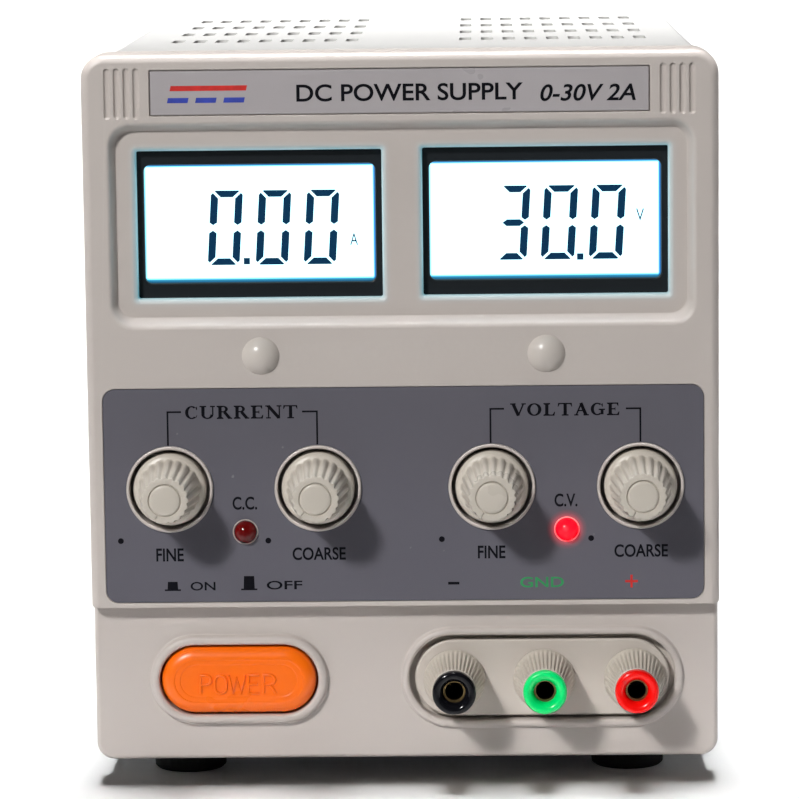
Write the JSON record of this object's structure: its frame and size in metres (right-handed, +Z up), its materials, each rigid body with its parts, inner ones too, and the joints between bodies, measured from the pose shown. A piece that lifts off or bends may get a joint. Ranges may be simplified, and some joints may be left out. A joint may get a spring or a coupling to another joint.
{
  "type": "bench power supply",
  "caption": "Linear DC bench supply: lit current and voltage meters, fine and coarse control knobs, latching power button, binding posts, rear heat sink.",
  "frame": {"origin": "on the resting plane, under the middle of the object's whole footprint (bounding box bottom centre)", "axes": "+X to the right seen from the front, +Y from the front panel to the rear heat sink, +Z up"},
  "size_m": [0.136, 0.291, 0.1597],
  "materials": {
    "front_moulding": "fine-textured warm grey ABS moulding",
    "overlay_film": "satin printed polycarbonate film",
    "nameplate_film": "satin printed film",
    "meter_frame": "black moulded bezel",
    "lcd_glass": "backlit display",
    "backlight": "light guide",
    "circuit_board": "green solder mask",
    "plug_plastic": "satin",
    "knob_plastic": "satin moulded",
    "spindle_steel": "turned",
    "pot_case": "pressed",
    "nickel_plate": "nickel plated",
    "led_dark": "unlit red lens",
    "led_lit": "lit red lens",
    "orange_plastic": "semi-gloss moulded",
    "white_plastic": "moulded",
    "black_plastic": "moulded",
    "post_brass": "turned",
    "cover_paint": "off-white powder coat",
    "zinc_steel": "zinc plated sheet",
    "rear_paint": "off-white powder coat",
    "black_anodised": "black anodised extrusion",
    "transistor_can": "nickel plated",
    "screw_steel": "zinc plated",
    "foot_rubber": "matt",
    "core_steel": "varnished laminations",
    "coil_tape": "yellow polyester tape",
    "capacitor_sleeve": "shrunk sleeve",
    "fuse_glass": "clear",
    "red_plastic": "moulded",
    "wire_insulation": "stranded wire, PVC",
    "tip_black": "moulded",
    "tip_green": "moulded",
    "tip_red": "moulded"
  },
  "bodies": {
    "case": {"front_fascia": "front_moulding", "control_overlay": "overlay_film", "nameplate": "nameplate_film", "meter_frames": "meter_frame", "lcd_panels": "lcd_glass", "meter_backlights": "backlight", "meter_board": "circuit_board", "blanking_plugs": "plug_plastic", "potentiometers": "pot_case", "pot_nuts": "nickel_plate", "control_board": "circuit_board", "cc_led": "led_dark", "cv_led": "led_lit", "power_switch": "black_plastic", "terminal_plate": "front_moulding", "post_studs": "post_brass", "post_rear_nuts": "nickel_plate", "top_cover": "cover_paint", "base_chassis": "zinc_steel", "rear_panel": "rear_paint", "heat_sink": "black_anodised", "power_transistors": "transistor_can", "machine_screws": "screw_steel", "rubber_feet": "foot_rubber", "transformer_core": "core_steel", "transformer_coil": "coil_tape", "transformer_clamp": "zinc_steel", "main_board": "circuit_board", "filter_capacitors": "capacitor_sleeve", "bridge_rectifier": "black_plastic", "mains_inlet": "black_plastic", "inlet_pins": "nickel_plate", "voltage_selector": "black_plastic", "internal_wiring": "wire_insulation"},
    "current_fine_control": {"current_fine_knob": "knob_plastic", "current_fine_cap": "knob_plastic", "current_fine_shaft": "spindle_steel"},
    "current_coarse_control": {"current_coarse_knob": "knob_plastic", "current_coarse_cap": "knob_plastic", "current_coarse_shaft": "spindle_steel"},
    "voltage_fine_control": {"voltage_fine_knob": "knob_plastic", "voltage_fine_cap": "knob_plastic", "voltage_fine_shaft": "spindle_steel"},
    "voltage_coarse_control": {"voltage_coarse_knob": "knob_plastic", "voltage_coarse_cap": "knob_plastic", "voltage_coarse_shaft": "spindle_steel"},
    "power_push": {"power_button": "orange_plastic", "switch_plunger": "white_plastic"},
    "negative_clamp": {"negative_clamp_washer": "nickel_plate"},
    "negative_screw": {"negative_post_nut": "knob_plastic", "negative_post_ring": "tip_black"},
    "ground_clamp": {"ground_clamp_washer": "nickel_plate"},
    "ground_screw": {"ground_post_nut": "knob_plastic", "ground_post_ring": "tip_green"},
    "positive_clamp": {"positive_clamp_washer": "nickel_plate"},
    "positive_screw": {"positive_post_nut": "knob_plastic", "positive_post_ring": "tip_red"},
    "fuse_carrier": {"fuse_drawer": "black_plastic", "fuse": "fuse_glass"},
    "selector_thumb": {"selector_slider": "red_plastic"}
  },
  "joints": [
    {"name": "current_fine_turn", "type": "hinge", "parent": "case", "child": "current_fine_control", "pos_m": [-0.0505, -0.1352, 0.066], "axis": [0, 1, 0], "range_deg": [0, 300]},
    {"name": "current_coarse_turn", "type": "hinge", "parent": "case", "child": "current_coarse_control", "pos_m": [-0.0185, -0.1352, 0.066], "axis": [0, 1, 0], "range_deg": [-15, 285]},
    {"name": "voltage_fine_turn", "type": "hinge", "parent": "case", "child": "voltage_fine_control", "pos_m": [0.019, -0.1352, 0.066], "axis": [0, 1, 0], "range_deg": [0, 300]},
    {"name": "voltage_coarse_turn", "type": "hinge", "parent": "case", "child": "voltage_coarse_control", "pos_m": [0.051, -0.1352, 0.066], "axis": [0, 1, 0], "range_deg": [0, 300]},
    {"name": "power_button_push", "type": "slide", "parent": "case", "child": "power_push", "axis": [0, -1, 0], "range_m": [-0.0008, 0.004]},
    {"name": "negative_post_slide", "type": "slide", "parent": "case", "child": "negative_clamp", "axis": [0, -1, 0], "range_m": [0, 0.0048]},
    {"name": "negative_post_turn", "type": "hinge", "parent": "negative_clamp", "child": "negative_screw", "pos_m": [0.0105, -0.1332, 0.0229], "axis": [0, -1, 0], "range_deg": [0, 2160]},
    {"name": "ground_post_slide", "type": "slide", "parent": "case", "child": "ground_clamp", "axis": [0, -1, 0], "range_m": [0, 0.0048]},
    {"name": "ground_post_turn", "type": "hinge", "parent": "ground_clamp", "child": "ground_screw", "pos_m": [0.03, -0.1332, 0.0229], "axis": [0, -1, 0], "range_deg": [0, 2160]},
    {"name": "positive_post_slide", "type": "slide", "parent": "case", "child": "positive_clamp", "axis": [0, -1, 0], "range_m": [0, 0.0048]},
    {"name": "positive_post_turn", "type": "hinge", "parent": "positive_clamp", "child": "positive_screw", "pos_m": [0.0497, -0.1332, 0.0229], "axis": [0, -1, 0], "range_deg": [0, 2160]},
    {"name": "fuse_drawer_pull", "type": "slide", "parent": "case", "child": "fuse_carrier", "axis": [0, 1, 0], "range_m": [0, 0.018]},
    {"name": "selector_slide", "type": "slide", "parent": "case", "child": "selector_thumb", "axis": [1, 0, 0], "range_m": [0, 0.0071]}
  ],
  "couplings": [
    {"joint": "negative_post_turn", "follows": "negative_post_slide", "rad_per_m": 7853.9},
    {"joint": "ground_post_turn", "follows": "ground_post_slide", "rad_per_m": 7853.9},
    {"joint": "positive_post_turn", "follows": "positive_post_slide", "rad_per_m": 7853.9}
  ]
}
